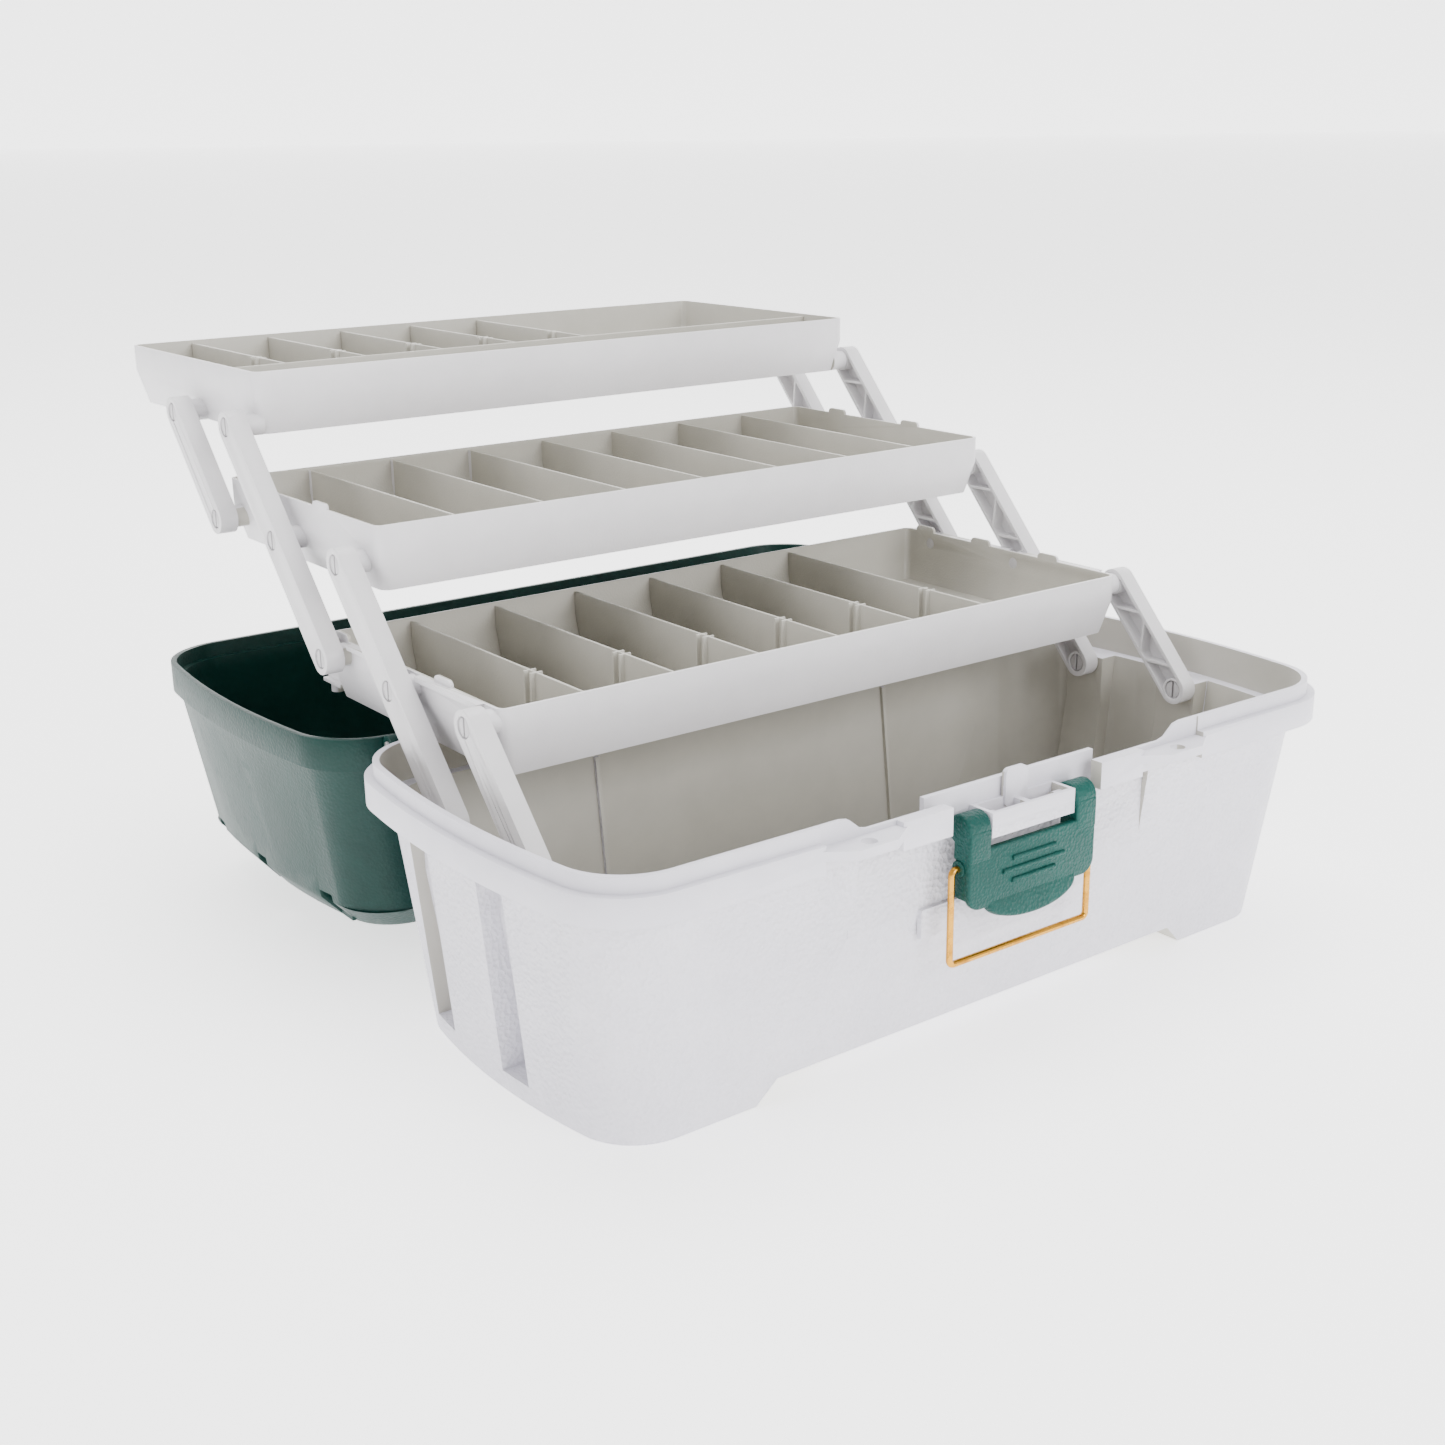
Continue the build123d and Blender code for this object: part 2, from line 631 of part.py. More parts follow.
# ---- write every piece ----
def main():
    os.makedirs("parts", exist_ok=True)
    save("base_tub", base_tub())
    save("hinge_pin", x_rod(hinge_pin_radius, -189.0, 189.0, hinge_y, hinge_z))
    base_pins = []
    for y, z in (base_front, base_rear):
        base_pins += both_ends(lambda: base_pin(y, z))
    save("base_arm_pins", Compound(children=base_pins))
    save("latch_pins", Compound(children=latch_pins()))
    save("latch_lever", latch_lever())
    save("latch_bail", latch_bail())

    arms = {
        "lower_short_arm": lifting_arm(base_front, bottom_front, [bottom_front], [base_front]),
        "lower_long_arm": lifting_arm(base_rear, middle_front, [bottom_middle, middle_front], [base_rear]),
        "upper_long_arm": lifting_arm(bottom_rear, top_front, [bottom_rear, middle_middle, top_front], []),
        "upper_short_arm": lifting_arm(middle_rear, top_rear, [middle_rear, top_rear], []),
    }
    for name, arm in arms.items():
        save(f"{name}_right", arm)
        save(f"{name}_left", mirrored(arm))

    save("bottom_tray", bottom_tray())
    save("middle_tray", middle_tray())
    save("top_tray", top_tray())
    save("bottom_tray_pins", pin_set(bottom_tray_half, [bottom_front, bottom_middle, bottom_rear]))
    save("middle_tray_pins", pin_set(middle_tray_half, [middle_front, middle_middle, middle_rear]))
    save("top_tray_pins", pin_set(top_tray_half, [top_front, top_rear]))

    inside = tray_wall + 0.15
    for step in range(6):
        x = (step - 3) * divider_spacing
        plate = divider_plate(x, bottom_y + inside, bottom_y + tray_depth - inside, bottom_rim, bottom_y + 46)
        save(f"bottom_divider_{step + 1}", plate)
    save("top_long_divider", top_long_divider())
    for step in range(5):
        x = -150.0 + 44.5 * step
        plate = divider_plate(x, top_y + 37.0, top_y + tray_depth - inside, top_rim, top_y + 70)
        save(f"top_divider_{step + 1}", plate)

    save("lid_shell", lid_shell())
    save("carry_handle", carry_handle())
    save("handle_pins", Compound(children=handle_pins()))


main()
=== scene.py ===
import json
import math

import bpy
from mathutils import Matrix, Vector


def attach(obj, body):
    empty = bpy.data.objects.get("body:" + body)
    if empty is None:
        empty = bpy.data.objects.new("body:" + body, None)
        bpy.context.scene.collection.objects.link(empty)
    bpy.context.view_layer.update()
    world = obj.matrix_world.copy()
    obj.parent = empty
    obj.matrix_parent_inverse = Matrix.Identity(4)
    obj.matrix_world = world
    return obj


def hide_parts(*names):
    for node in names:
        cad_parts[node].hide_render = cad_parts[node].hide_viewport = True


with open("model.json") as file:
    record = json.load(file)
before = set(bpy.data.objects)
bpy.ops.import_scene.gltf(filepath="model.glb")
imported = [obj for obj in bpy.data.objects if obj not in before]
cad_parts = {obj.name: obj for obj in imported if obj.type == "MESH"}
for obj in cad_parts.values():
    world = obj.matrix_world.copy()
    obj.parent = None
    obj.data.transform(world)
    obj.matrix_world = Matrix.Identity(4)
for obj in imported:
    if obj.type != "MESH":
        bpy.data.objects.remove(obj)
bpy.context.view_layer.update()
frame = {"nodes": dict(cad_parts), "record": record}

bl_info = {
    "name": "Tackle box",
    "version": (1, 0, 0),
    "blender": (4, 5, 0),
    "location": "3D View > Sidebar > Tackle Box",
    "description": "Builds the finished looks of a three-tray fishing tackle box around its frame",
    "category": "Add Mesh",
}

MM = 0.001
FLOW_MARK_SIZE = 14.0
# the middle of each tray along Y, and how far out the outer skin of a tray begins
TRAY_MIDDLES = {"bottom_tray": 94.2, "middle_tray": 195.7, "top_tray": 311.0}
TRAY_SKIN_X = 174.5
TRAY_SKIN_Y = 74.5


# ---- placing and selecting ----
def clear_selection():
    """Nothing selected and nothing active in edit mode."""
    if bpy.context.object and bpy.context.object.mode != "OBJECT":
        bpy.ops.object.mode_set(mode="OBJECT")
    bpy.ops.object.select_all(action="DESELECT")


def pick(piece):
    """Make one piece the only selected and active object."""
    clear_selection()
    piece.select_set(True)
    bpy.context.view_layer.objects.active = piece
    return piece


def settle(piece):
    """Move a piece's place, turn and scale into its mesh."""
    pick(piece)
    bpy.ops.object.transform_apply(location=True, rotation=True, scale=True)
    return piece


def edit(piece, select_mode="FACE"):
    """Open a piece in edit mode with nothing selected."""
    pick(piece)
    bpy.ops.object.mode_set(mode="EDIT")
    bpy.ops.mesh.select_mode(type=select_mode)
    bpy.ops.mesh.select_all(action="DESELECT")


def leave_edit():
    bpy.ops.object.mode_set(mode="OBJECT")


def select_edges(piece, test):
    """Select the edges whose two ends pass a test, leaving the piece in edit mode."""
    edit(piece, "EDGE")
    leave_edit()
    points = piece.data.vertices
    for line in piece.data.edges:
        line.select = bool(test(points[line.vertices[0]].co, points[line.vertices[1]].co))
    bpy.ops.object.mode_set(mode="EDIT")


def apply_all(piece):
    """Apply every modifier of a piece in order."""
    pick(piece)
    for modifier in list(piece.modifiers):
        bpy.ops.object.modifier_apply(modifier=modifier.name)
    return piece


def box_piece(name, low, high):
    """A cuboid from its low and high corners, in millimetres."""
    clear_selection()
    middle = [(a + b) / 2 * MM for a, b in zip(low, high)]
    bpy.ops.mesh.primitive_cube_add(size=1.0, location=middle)
    piece = bpy.context.object
    piece.name = name
    piece.scale = [(b - a) * MM for a, b in zip(low, high)]
    return settle(piece)


def rod_piece(name, radius, start, end, sides=32):
    """A round bar between two points, in millimetres."""
    clear_selection()
    a = Vector(start) * MM
    b = Vector(end) * MM
    bpy.ops.mesh.primitive_cylinder_add(vertices=sides, radius=radius * MM, depth=(b - a).length,
                                        location=(a + b) / 2)
    piece = bpy.context.object
    piece.name = name
    piece.rotation_euler = (b - a).to_track_quat("Z", "Y").to_euler()
    return settle(piece)


def add_bevel(piece, width, segments=2, angle=35.0):
    """Round every edge sharper than an angle."""
    bevel = piece.modifiers.new("soft_edges", "BEVEL")
    bevel.width = width * MM
    bevel.segments = segments
    bevel.limit_method = "ANGLE"
    bevel.angle_limit = math.radians(angle)
    bevel.harden_normals = False
    bevel.miter_outer = "MITER_ARC"
    return bevel


def smooth(piece, angle=32.0):
    pick(piece)
    bpy.ops.object.shade_smooth_by_angle(angle=math.radians(angle))
    return piece


def join(pieces, name):
    """Several meshes as one piece."""
    clear_selection()
    for piece in pieces:
        piece.select_set(True)
    bpy.context.view_layer.objects.active = pieces[0]
    if len(pieces) > 1:
        bpy.ops.object.join()
    joined = bpy.context.object
    joined.name = name
    return joined


def moulded_copy(node, name, edge_width, segments=2, angle=40.0, flatten=True):
    """A welded copy of a frame node with its hard edges rounded as a moulding's are."""
    source = frame["nodes"][node]
    piece = source.copy()
    piece.data = source.data.copy()
    piece.name = name
    bpy.context.scene.collection.objects.link(piece)
    pick(piece)
    bpy.ops.object.mode_set(mode="EDIT")
    bpy.ops.mesh.select_all(action="SELECT")
    bpy.ops.mesh.remove_doubles(threshold=0.000005)
    if flatten:
        bpy.ops.mesh.dissolve_limited(angle_limit=math.radians(0.6))
    bpy.ops.mesh.select_all(action="DESELECT")
    leave_edit()
    if edge_width:
        add_bevel(piece, edge_width, segments, angle)
        apply_all(piece)
    return smooth(piece)


# ---- finishes ----
class Wire:
    """A shader value that adds its Math nodes when it is used in an expression."""

    def __init__(self, maker, socket):
        self.maker = maker
        self.socket = socket

    def _math(self, operation, *values):
        return self.maker.node("ShaderNodeMath", {"operation": operation}, dict(enumerate(values)))

    def __add__(self, other):
        return self._math("ADD", self, other)

    __radd__ = __add__

    def __sub__(self, other):
        return self._math("SUBTRACT", self, other)

    def __rsub__(self, other):
        return self._math("SUBTRACT", other, self)

    def __mul__(self, other):
        return self._math("MULTIPLY", self, other)

    __rmul__ = __mul__

    def __lt__(self, other):
        return self._math("LESS_THAN", self, other)

    def __gt__(self, other):
        return self._math("GREATER_THAN", self, other)

    def __abs__(self):
        return self._math("ABSOLUTE", self)


class Finish:
    """One material, and the one method that adds its nodes."""

    def __init__(self, name):
        self.material = bpy.data.materials.new(name)
        self.material.use_nodes = True
        self.tree = self.material.node_tree
        self.shader = self.tree.nodes["Principled BSDF"]
        self.place = self.node("ShaderNodeTexCoord", {}, {}, "Object")

    def node(self, kind, settings, inputs, output=0):
        """Add a node, set its settings, then its sockets, and return one output as a Wire."""
        made = self.tree.nodes.new(kind)
        for key, value in settings.items():
            if key == "stops":
                self._stops(made.color_ramp, value)
            else:
                setattr(made, key, value)
        for key, value in inputs.items():
            if isinstance(value, Wire):
                self.tree.links.new(value.socket, made.inputs[key])
            else:
                made.inputs[key].default_value = value
        return Wire(self, made.outputs[output])

    def _stops(self, ramp, stops):
        while len(ramp.elements) > 1:
            ramp.elements.remove(ramp.elements[-1])
        for index, (position, color) in enumerate(stops):
            stop = ramp.elements[0] if index == 0 else ramp.elements.new(position)
            stop.position = position
            stop.color = color

    def noise(self, size, detail=3.0, roughness=0.5, where=None):
        """Soft noise whose spots are about a size across, in millimetres."""
        return self.node("ShaderNodeTexNoise", {}, {"Vector": where or self.place,
                         "Scale": 1.0 / (size * MM), "Detail": detail, "Roughness": roughness})

    def cells(self, size, feature="F1", where=None):
        """Pebbles about a size across, in millimetres, as a distance value."""
        return self.node("ShaderNodeTexVoronoi", {"feature": feature},
                         {"Vector": where or self.place, "Scale": 1.0 / (size * MM)}, "Distance")

    def ramp(self, value, *stops):
        """A value turned into a smooth 0 to 1 mask between stops given as (place, grey)."""
        colors = [(place, (grey, grey, grey, 1.0)) for place, grey in stops]
        return self.node("ShaderNodeValToRGB", {"stops": colors}, {"Fac": value}, "Color")

    def blend(self, factor, first, second):
        """A colour between two colours."""
        sockets = {"Factor": factor, 6: first, 7: second}
        return self.node("ShaderNodeMix", {"data_type": "RGBA"}, sockets, 2)

    def axis(self, letter):
        return self.node("ShaderNodeSeparateXYZ", {}, {"Vector": self.place}, letter)

    def facing(self, letter):
        """How much the surface faces along an axis."""
        normal = self.node("ShaderNodeNewGeometry", {}, {}, "Normal")
        return self.node("ShaderNodeSeparateXYZ", {}, {"Vector": normal}, letter)

    def between(self, value, low, high):
        """0 below low, 1 above high, straight in between."""
        return self.node("ShaderNodeMapRange", {}, {"Value": value, 1: low, 2: high, 3: 0.0, 4: 1.0})

    def bump(self, height, strength, distance):
        """Relief of a distance in millimetres."""
        return self.node("ShaderNodeBump", {}, {"Height": height, "Strength": strength,
                         "Distance": distance * MM}, "Normal")

    def feed(self, socket, value):
        """Set or link one socket of the surface shader."""
        target = self.shader.inputs[socket]
        if isinstance(value, Wire):
            self.tree.links.new(value.socket, target)
        else:
            target.default_value = value
        return self


def rgb(red, green, blue):
    """A linear colour from the 0 to 255 values of a paint card."""
    def linear(value):
        part = value / 255.0
        return part / 12.92 if part <= 0.04045 else ((part + 0.055) / 1.055) ** 2.4
    return (linear(red), linear(green), linear(blue), 1.0)


def plastic(name, base, shade, roughness, grain_size, grain_depth, grain_mask=None, inner_shade_paint=None):
    """Moulded plastic: two close shades, uneven gloss, and a fine moulded grain.

    The last argument holds a mask that is 1 on outside faces, and the two warm greys painted on the inner
    faces as painted shade.
    """
    finish = Finish(name)
    drift = finish.noise(90.0, 2.0)
    marks = finish.noise(FLOW_MARK_SIZE, 4.0, 0.6)
    tone = finish.ramp(drift * 0.6 + marks * 0.4, (0.35, 0.0), (0.65, 1.0))
    color = finish.blend(tone, base, shade)
    # painted shade: the inner faces take darker warm greys in place of the outside colour
    if inner_shade_paint:
        color = finish.blend(inner_shade_paint[0](finish), finish.blend(tone, inner_shade_paint[1], inner_shade_paint[2]), color)
    finish.feed("Base Color", color)
    speck = finish.noise(2.2, 2.0)
    scuff = finish.ramp(finish.noise(9.0, 6.0, 0.7), (0.56, 0.0), (0.72, 1.0))
    finish.feed("Roughness", speck * 0.06 + scuff * 0.07 + drift * 0.05 + (roughness - 0.06))
    finish.shader.inputs["IOR"].default_value = 1.49
    pebbles = finish.cells(grain_size) + finish.noise(grain_size * 0.6, 2.0) * 0.5
    if grain_mask:
        pebbles = pebbles * grain_mask(finish)
    waviness = finish.noise(38.0, 1.0) * 0.6
    finish.feed("Normal", finish.bump(pebbles + waviness * 0.3, 1.0, grain_depth))
    return finish


def lean_from(finish, place):
    """How far a surface faces away, in plan, from the zero of a place."""
    normal = finish.node("ShaderNodeNewGeometry", {}, {}, "Normal")
    flat = finish.node("ShaderNodeVectorMath", {"operation": "MULTIPLY"}, {0: place, 1: (1.0, 1.0, 0.0)})
    return finish.node("ShaderNodeVectorMath", {"operation": "DOT_PRODUCT"}, {0: normal, 1: flat}, "Value")


def outward(finish):
    """1 where a surface faces away from the middle of the box in plan."""
    return lean_from(finish, finish.place) > 0.004


def below_flange(finish):
    """The grained outside of the tub, between the feet and the smooth flange."""
    height = finish.axis("Z")
    return outward(finish) * finish.between(height, 0.1035, 0.1005)


def tub_outside(finish):
    """1 on the outer skin and rim of the tub, 0 on its inner walls and floor, where the painted shade goes.
    """
    level = finish.facing("Z")
    return finish.ramp(outward(finish) + (level * (finish.axis("Z") > 0.09)), (0.45, 0.0), (0.55, 1.0))


def white_shell():
    # painted shade: darker warm greys on the inner walls and floor of the tub
    shaded_inner_greys = (tub_outside, rgb(180, 177, 168), rgb(171, 168, 159))
    finish = plastic("white_tub_plastic", rgb(216, 214, 222), rgb(206, 204, 213), 0.44, 2.3, 0.62,
                     below_flange, shaded_inner_greys)
    return finish.material


def tray_outside(middle_y):
    """A mask that is 1 on the outer faces of the tray whose middle is at middle_y."""
    def mask(finish):
        place = finish.node("ShaderNodeVectorMath", {"operation": "SUBTRACT"},
                            {0: finish.place, 1: (0.0, middle_y * MM, 0.0)}, "Vector")
        far_x = abs(finish.axis("X")) > TRAY_SKIN_X * MM
        far_y = abs(finish.node("ShaderNodeSeparateXYZ", {}, {"Vector": place}, "Y")) > TRAY_SKIN_Y * MM
        edge = finish.node("ShaderNodeMath", {"operation": "MAXIMUM"}, {0: far_x, 1: far_y})
        return (lean_from(finish, place) > 0.0005) * edge
    return mask


def tray_finish(name, middle_y):
    """Tray plastic: white outside, with painted shade in warm grey on the inner faces."""
    # painted shade: darker warm greys on the inner faces of the tray
    shaded_inner_greys = (tray_outside(middle_y), rgb(186, 183, 174), rgb(178, 175, 166))
    finish = plastic(name, rgb(222, 220, 223), rgb(214, 212, 215), 0.36, 1.1, 0.05, inner_shade_paint=shaded_inner_greys)
    return finish.material


def divider_plastic():
    # painted shade: the dividers are tray plastic, given the darker warm grey of its shaded inner faces
    finish = plastic("divider_plastic", rgb(184, 181, 172), rgb(176, 173, 164), 0.40, 0.9, 0.03)
    return finish.material


def arm_plastic():
    finish = plastic("arm_plastic", rgb(214, 212, 214), rgb(205, 203, 205), 0.34, 1.1, 0.05)
    return finish.material


def pin_plastic():
    finish = plastic("pin_plastic", rgb(196, 194, 196), rgb(184, 182, 184), 0.32, 1.1, 0.05)
    return finish.material


def green_shell():
    finish = plastic("green_lid_plastic", rgb(1, 42, 37), rgb(4, 50, 44), 0.42, 1.6, 0.10)
    finish.shader.inputs["Specular IOR Level"].default_value = 0.22
    return finish.material


def handle_plastic():
    finish = plastic("green_handle_plastic", rgb(1, 42, 37), rgb(4, 50, 44), 0.44, 1.4, 0.16)
    finish.shader.inputs["Specular IOR Level"].default_value = 0.22
    return finish.material


def teal_latch():
    finish = plastic("teal_latch_plastic", rgb(0, 58, 52), rgb(3, 68, 61), 0.44, 1.5, 0.34)
    finish.shader.inputs["Specular IOR Level"].default_value = 0.22
    return finish.material


def metal(name, base, shade, roughness, draw_axis):
    """Drawn wire or turned pin: fine lines along its length, a little tarnish."""
    finish = Finish(name)
    stretch = {"X": (0.04, 1.0, 1.0), "Z": (1.0, 1.0, 0.04)}[draw_axis]
    along = finish.node("ShaderNodeMapping", {}, {"Vector": finish.place, "Scale": stretch}, "Vector")
    lines = finish.noise(0.5, 4.0, 0.6, along)
    tarnish = finish.ramp(finish.noise(6.0, 5.0, 0.65), (0.45, 0.0), (0.75, 1.0))
    finish.feed("Base Color", finish.blend(tarnish, base, shade))
    finish.feed("Metallic", 1.0)
    finish.feed("Roughness", lines * 0.16 + tarnish * 0.14 + roughness)
    finish.feed("Normal", finish.bump(lines, 0.5, 0.03))
    return finish.material


def brass_wire():
    return metal("brass_wire_metal", rgb(206, 150, 56), rgb(166, 112, 32), 0.16, "X")


def steel_pin():
    return metal("steel_pin_metal", rgb(190, 190, 190), rgb(150, 149, 146), 0.24, "X")


FINISHES = {}


def finish_for(slot):
    """The material of a record slot, made once."""
    makers = {
        "white_shell": white_shell, "divider_plastic": divider_plastic,
        "arm_plastic": arm_plastic, "pin_plastic": pin_plastic, "green_shell": green_shell,
        "handle_plastic": handle_plastic, "teal_latch": teal_latch, "brass_wire": brass_wire,
        "steel_pin": steel_pin,
    }
    if slot not in FINISHES:
        FINISHES[slot] = makers[slot]()
    return FINISHES[slot]


SLOT_OF = {part["node"]: part["material_slot"] for part in frame["record"]["subparts"]}
BODY_OF = {node: body for body, nodes in frame["record"]["behaviour"]["bodies"].items() for node in nodes}


def dress(piece, node, finish=None):
    """Give a piece its own finish or that of its frame node, and ride it on that node's body."""
    slot = SLOT_OF[node]
    piece.data.materials.clear()
    piece.data.materials.append(finish or finish_for(slot))
    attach(piece, BODY_OF[node])
    return piece


def mould(node, edge_width, segments=2, angle=40.0, flatten=True, finish=None):
    """Replace one frame node by its welded copy with rounded edges."""
    piece = moulded_copy(node, node + "_piece", edge_width, segments, angle, flatten)
    dress(piece, node, finish)
    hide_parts(node)
    return piece


# ---- sizes a user may change ----
class TackleBoxSizes(bpy.types.PropertyGroup):
    edge_softness: bpy.props.FloatProperty(
        name="Edge softness", description="Radius of the moulded edges of the large shells, in millimetres",
        default=0.9, min=0.0)
    tray_edge: bpy.props.FloatProperty(
        name="Tray edge", description="Radius of the edges of trays and dividers, in millimetres",
        default=0.45, min=0.0)
    camera_lens: bpy.props.FloatProperty(
        name="Lens", description="Camera focal length in millimetres", default=46.72, min=10.0)
    floor_shade: bpy.props.FloatVectorProperty(
        name="Floor shade", description="Colour of the studio floor", subtype="COLOR", size=3,
        default=(0.90, 0.90, 0.90))


def sizes():
    return bpy.context.scene.tackle_box_sizes


# ---- one operator for each piece or group of like pieces ----
class TACKLE_OT_base_tub(bpy.types.Operator):
    """Build the white base tub"""
    bl_idname = "tackle.base_tub"
    bl_label = "Base tub"

    def execute(self, context):
        mould("base_tub", sizes().edge_softness, 2)
        return {"FINISHED"}


class TACKLE_OT_lid(bpy.types.Operator):
    """Build the green lid"""
    bl_idname = "tackle.lid"
    bl_label = "Lid"

    def execute(self, context):
        mould("lid_shell", sizes().edge_softness, 2)
        return {"FINISHED"}


class TACKLE_OT_trays(bpy.types.Operator):
    """Build the three trays and their dividers"""
    bl_idname = "tackle.trays"
    bl_label = "Trays and dividers"

    def execute(self, context):
        edge = sizes().tray_edge
        for node, middle_y in TRAY_MIDDLES.items():
            mould(node, edge, finish=tray_finish(node + "_plastic", middle_y))
        mould("top_long_divider", edge)
        for step in range(6):
            mould(f"bottom_divider_{step + 1}", edge * 0.8)
        for step in range(5):
            mould(f"top_divider_{step + 1}", edge * 0.8)
        return {"FINISHED"}


class TACKLE_OT_arms(bpy.types.Operator):
    """Build the eight lifting arms and their snap pins"""
    bl_idname = "tackle.arms"
    bl_label = "Lifting arms"

    def execute(self, context):
        for level in ("lower", "upper"):
            for length in ("short", "long"):
                for side in ("left", "right"):
                    mould(f"{level}_{length}_arm_{side}", 0.4, 2, 50.0, flatten=False)
        for node in ("base_arm_pins", "bottom_tray_pins", "middle_tray_pins", "top_tray_pins"):
            mould(node, 0.35)
        return {"FINISHED"}


LATCH = {"front": -107.0, "half": 37.5, "plate_top": 94.4, "plate_bottom": 68.0, "plate_depth": 3.4,
         "leg_depth": 10.0, "leg_inner": 25.2, "reach": 6.8, "pivot_y": -100.2, "pivot_z": 103.0,
         "eye_z": 86.0, "eye_radius": 3.6, "side_thickness": 4.0, "corner": 7.0,
         "lip_half": 26.0, "lip_depth": 4.6, "lip_drop": 9.0, "lip_z": 68.4, "lip_lean": -16.0,
         "rib_radius": 1.15}
LEVER_RIBS = ((87.0, 13.0), (82.0, 18.5), (77.0, 13.0))


def softened(piece, width, segments=3):
    """Round the edges of one simple solid."""
    add_bevel(piece, width, segments, 30.0)
    return apply_all(piece)


def lever_leg(side):
    """One round-topped leg of the lever, from its plate up round the pivot."""
    x0, x1 = sorted((side * (LATCH["half"] + 0.2), side * LATCH["leg_inner"]))
    y, z = LATCH["pivot_y"], LATCH["pivot_z"]
    back = LATCH["front"] + LATCH["leg_depth"]
    post = softened(box_piece("leg", (x0 + 0.3, LATCH["front"] - 0.2, LATCH["plate_top"] - 5.0),
                              (x1 - 0.3, back, z)), 0.8)
    head = softened(rod_piece("leg_head", LATCH["reach"], (x0, y, z), (x1, y, z), 48), 1.2)
    return [post, head]


def lever_side(side):
    """The side flange with the raised eye that holds one end of the bail."""
    outer = side * (LATCH["half"] - 0.35)
    x0, x1 = sorted((outer, outer - side * LATCH["side_thickness"]))
    flange = box_piece("side", (x0, LATCH["front"] + 1.4, LATCH["plate_bottom"] + 4.0),
                       (x1, LATCH["front"] + LATCH["leg_depth"] - 0.3, LATCH["plate_top"] + 3.0))
    e0, e1 = sorted((outer - side * 2.0, outer + side * 0.7))
    y, z = LATCH["pivot_y"], LATCH["eye_z"]
    eye = rod_piece("eye", LATCH["eye_radius"], (e0, y, z), (e1, y, z), 40)
    return [softened(flange, 1.4), softened(eye, 0.5)]


def lever_plate():
    """The gripping plate with round lower corners."""
    front = LATCH["front"]
    plate = box_piece("plate", (-LATCH["half"], front, LATCH["plate_bottom"]),
                      (LATCH["half"], front + LATCH["plate_depth"], LATCH["plate_top"]))
    select_edges(plate, lambda a, b: abs(a.x - b.x) < 1e-6 and abs(a.z - b.z) < 1e-6
                 and a.z < (LATCH["plate_bottom"] + 1.0) * MM)
    bpy.ops.mesh.bevel(offset=LATCH["corner"] * MM, segments=8, affect="EDGES")
    leave_edit()
    return softened(plate, 1.1)


def lever_lip():
    """The curved finger lip: the lower part of a flat oval that leans out under the plate."""
    clear_selection()
    bpy.ops.mesh.primitive_cylinder_add(vertices=72, radius=1.0, depth=1.0,
                                        rotation=(math.radians(90.0), 0.0, 0.0))
    lip = bpy.context.object
    settle(lip)
    lip.scale = (LATCH["lip_half"] * MM, LATCH["lip_depth"] * MM, LATCH["lip_drop"] * MM)
    lip.rotation_euler = (math.radians(LATCH["lip_lean"]), 0.0, 0.0)
    lip.location = (0.0, (LATCH["front"] + 1.9) * MM, LATCH["lip_z"] * MM)
    return softened(settle(lip), 1.3)


def lever_ribs():
    """Three grip ribs, short, long and short."""
    ribs = []
    y = LATCH["front"] - 0.1
    for z, half in LEVER_RIBS:
        rib = rod_piece("rib", LATCH["rib_radius"], (-half, y, z), (half, y, z), 24)
        ribs.append(softened(rib, 0.6))
    return ribs


class TACKLE_OT_latch(bpy.types.Operator):
    """Build the latch lever, its pins and the wire bail"""
    bl_idname = "tackle.latch"
    bl_label = "Latch"

    def execute(self, context):
        parts = [lever_plate(), lever_lip()] + lever_ribs()
        for side in (-1, 1):
            parts += lever_leg(side) + lever_side(side)
        lever = smooth(join(parts, "latch_lever_piece"), 40.0)
        dress(lever, "latch_lever")
        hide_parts("latch_lever")
        mould("latch_bail", 0)
        mould("latch_pins", 0.3)
        return {"FINISHED"}


class TACKLE_OT_handle(bpy.types.Operator):
    """Build the carrying handle, its pins and the hinge pin"""
    bl_idname = "tackle.handle"
    bl_label = "Handle and hinge pin"

    def execute(self, context):
        mould("carry_handle", 3.0, 4)
        mould("handle_pins", 0.4)
        mould("hinge_pin", 0.3)
        return {"FINISHED"}


class TACKLE_OT_stage(bpy.types.Operator):
    """Set the floor, the studio lights and the camera"""
    bl_idname = "tackle.stage"
    bl_label = "Stage"

    def execute(self, context):
        make_floor()
        make_lights()
        make_camera()
        return {"FINISHED"}


FLOOR_SPAN = 120.0
BACKDROP_SPAN = 90.0
BACKDROP_PLACE = (24.0, 32.0, 0.0)
BACKDROP_TURN = -37.0
STUDIO_GLOW = 1.7
AIR_STRENGTH = 1.15
BOX_MIDDLE = (0.0, 0.1, 0.1)
# name, place, width, height and power of each light
SOFTBOXES = (("overhead_softbox", (0.2, 0.5, 2.4), 2.0, 1.6, 60.0),
             ("left_softbox", (-2.4, 0.4, 1.5), 1.2, 1.2, 16.0),
             ("front_softbox", (0.5, -2.6, 1.3), 1.6, 1.2, 62.0))
CAMERA_PLACE = (-0.5444, -0.6157, 0.3809)
CAMERA_YAW = 36.863
CAMERA_PITCH = 17.809
CAMERA_ROLL = -0.733


def studio_paint():
    """Pale paint with a soft glow of its own, for the floor and the backdrop."""
    finish = Finish("studio_floor_paint")
    red, green, blue = sizes().floor_shade
    finish.feed("Base Color", (red, green, blue, 1.0))
    finish.feed("Roughness", 0.9)
    finish.shader.inputs["Specular IOR Level"].default_value = 0.1
    finish.shader.inputs["Emission Color"].default_value = (1.0, 1.0, 1.0, 1.0)
    finish.shader.inputs["Emission Strength"].default_value = STUDIO_GLOW
    return finish.material


def stage_sheet(name, span, place, turn, paint):
    """One large flat sheet of the studio."""
    clear_selection()
    bpy.ops.mesh.primitive_plane_add(size=span, location=place, rotation=turn)
    sheet = bpy.context.object
    sheet.name = name
    settle(sheet)
    sheet.data.materials.append(paint)


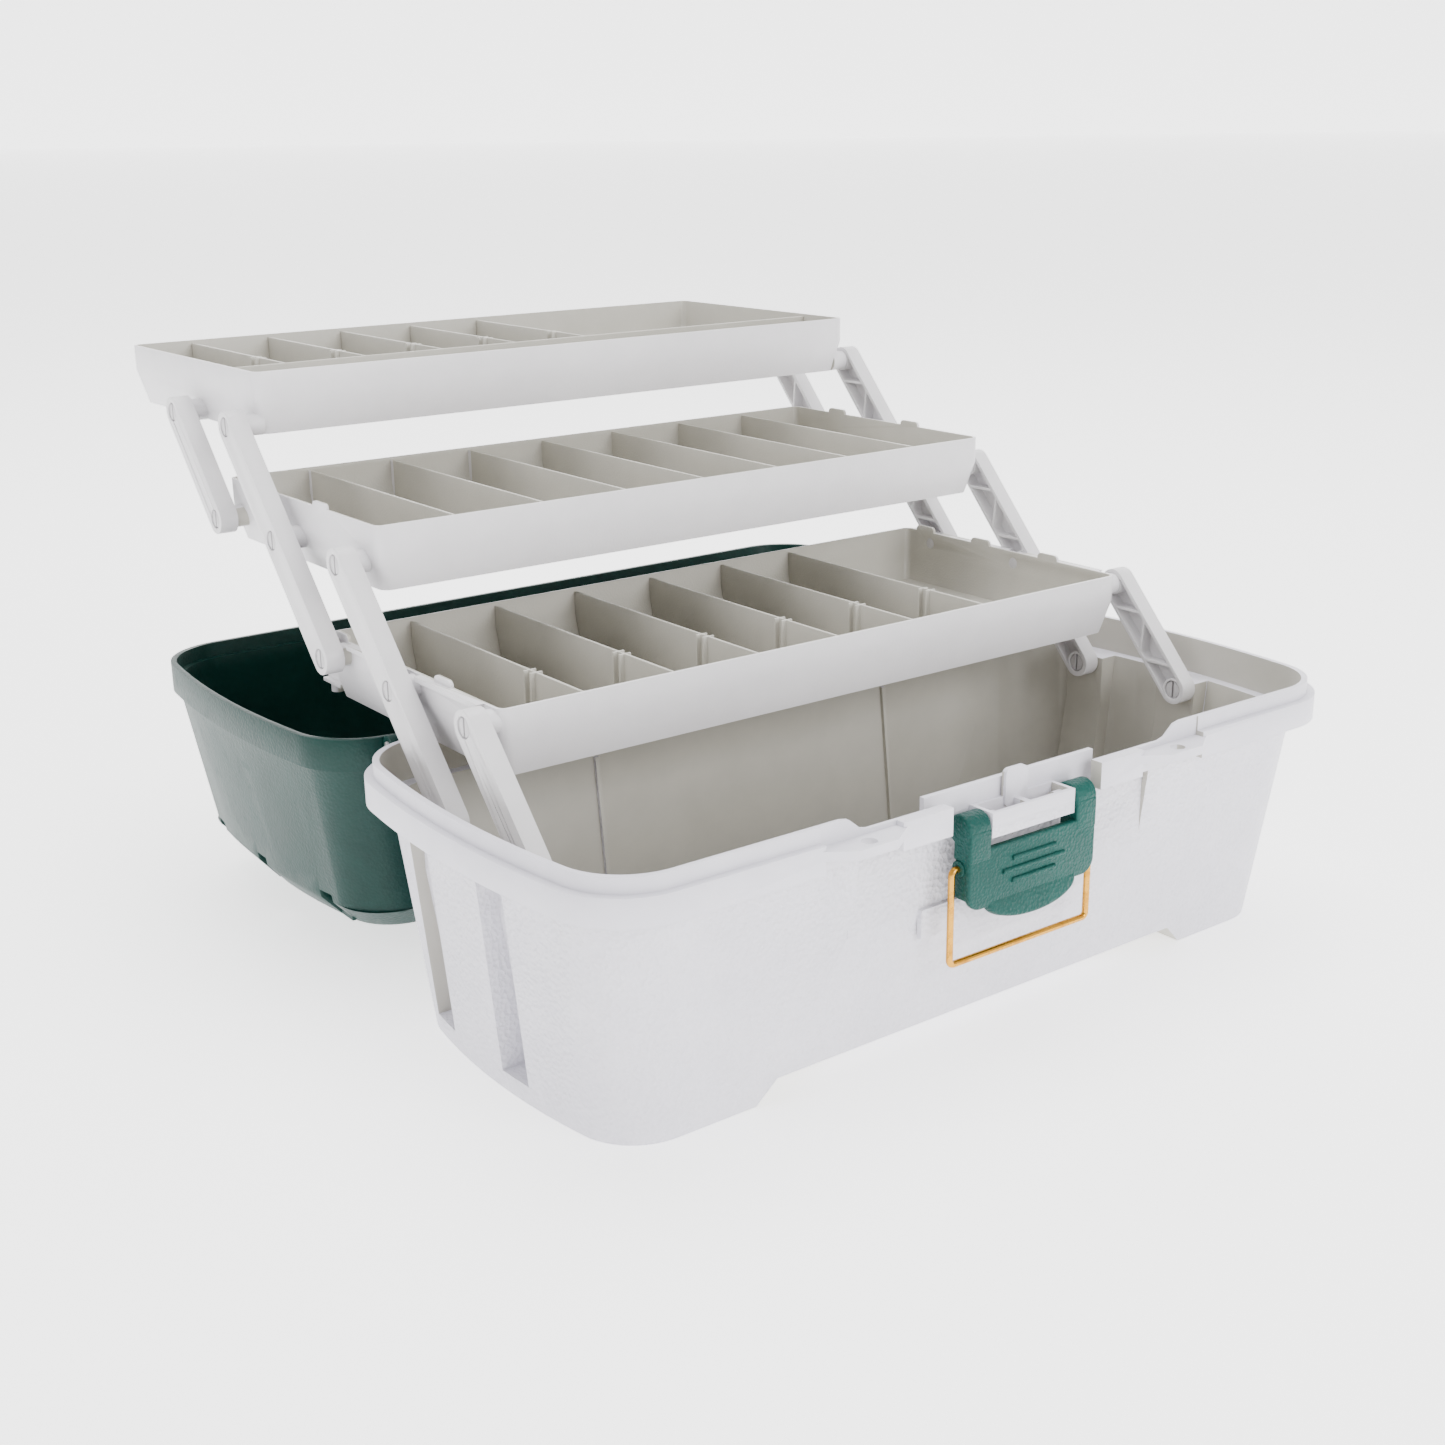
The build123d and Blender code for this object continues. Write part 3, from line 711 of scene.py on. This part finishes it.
def make_floor():
    paint = studio_paint()
    stage_sheet("studio_floor", FLOOR_SPAN, (0.0, 0.0, -0.0004), (0.0, 0.0, 0.0), paint)
    upright = (math.radians(90.0), 0.0, math.radians(BACKDROP_TURN))
    stage_sheet("studio_backdrop", BACKDROP_SPAN, BACKDROP_PLACE, upright, paint)


def add_softbox(name, place, target, width, height, power):
    """A large area light that looks at a point."""
    light = bpy.data.lights.new(name, "AREA")
    light.shape = "RECTANGLE"
    light.size = width
    light.size_y = height
    light.energy = power
    lamp = bpy.data.objects.new(name, light)
    lamp.location = place
    lamp.rotation_euler = (Vector(target) - Vector(place)).to_track_quat("-Z", "Y").to_euler()
    bpy.context.scene.collection.objects.link(lamp)
    return lamp


def make_lights():
    world = bpy.data.worlds.new("studio_air")
    bpy.context.scene.world = world
    world.use_nodes = True
    air = world.node_tree.nodes["Background"]
    air.inputs["Color"].default_value = (1.0, 1.0, 1.0, 1.0)
    air.inputs["Strength"].default_value = AIR_STRENGTH
    for name, place, width, height, power in SOFTBOXES:
        add_softbox(name, place, BOX_MIDDLE, width, height, power)


def make_camera():
    eye = bpy.data.cameras.new("studio_camera")
    eye.lens = sizes().camera_lens
    eye.sensor_width = 36.0
    eye.clip_start = 0.01
    camera = bpy.data.objects.new("studio_camera", eye)
    yaw = math.radians(CAMERA_YAW)
    pitch = math.radians(CAMERA_PITCH)
    roll = math.radians(CAMERA_ROLL)
    forward = Vector((math.sin(yaw) * math.cos(pitch), math.cos(yaw) * math.cos(pitch), -math.sin(pitch)))
    camera.location = CAMERA_PLACE
    level = forward.to_track_quat("-Z", "Y").to_matrix()
    camera.rotation_euler = (level @ Matrix.Rotation(roll, 3, "Z")).to_euler()
    bpy.context.scene.collection.objects.link(camera)
    bpy.context.scene.camera = camera


class TACKLE_PT_panel(bpy.types.Panel):
    bl_idname = "TACKLE_PT_panel"
    bl_label = "Tackle box"
    bl_space_type = "VIEW_3D"
    bl_region_type = "UI"
    bl_category = "Tackle Box"

    def draw(self, context):
        column = self.layout.column()
        for name in ("edge_softness", "tray_edge", "camera_lens", "floor_shade"):
            column.prop(context.scene.tackle_box_sizes, name)
        for operator in BUILD_ORDER:
            column.operator(operator.bl_idname)


BUILD_ORDER = (TACKLE_OT_base_tub, TACKLE_OT_lid, TACKLE_OT_trays, TACKLE_OT_arms, TACKLE_OT_latch,
               TACKLE_OT_handle, TACKLE_OT_stage)
CLASSES = (TackleBoxSizes,) + BUILD_ORDER + (TACKLE_PT_panel,)


def register():
    for cls in CLASSES:
        bpy.utils.register_class(cls)
    bpy.types.Scene.tackle_box_sizes = bpy.props.PointerProperty(type=TackleBoxSizes)


def unregister():
    del bpy.types.Scene.tackle_box_sizes
    for cls in reversed(CLASSES):
        bpy.utils.unregister_class(cls)


def main():
    register()
    for operator in BUILD_ORDER:
        group, name = operator.bl_idname.split(".")
        getattr(getattr(bpy.ops, group), name)()
    clear_selection()


if __name__ == "__main__":
    main()
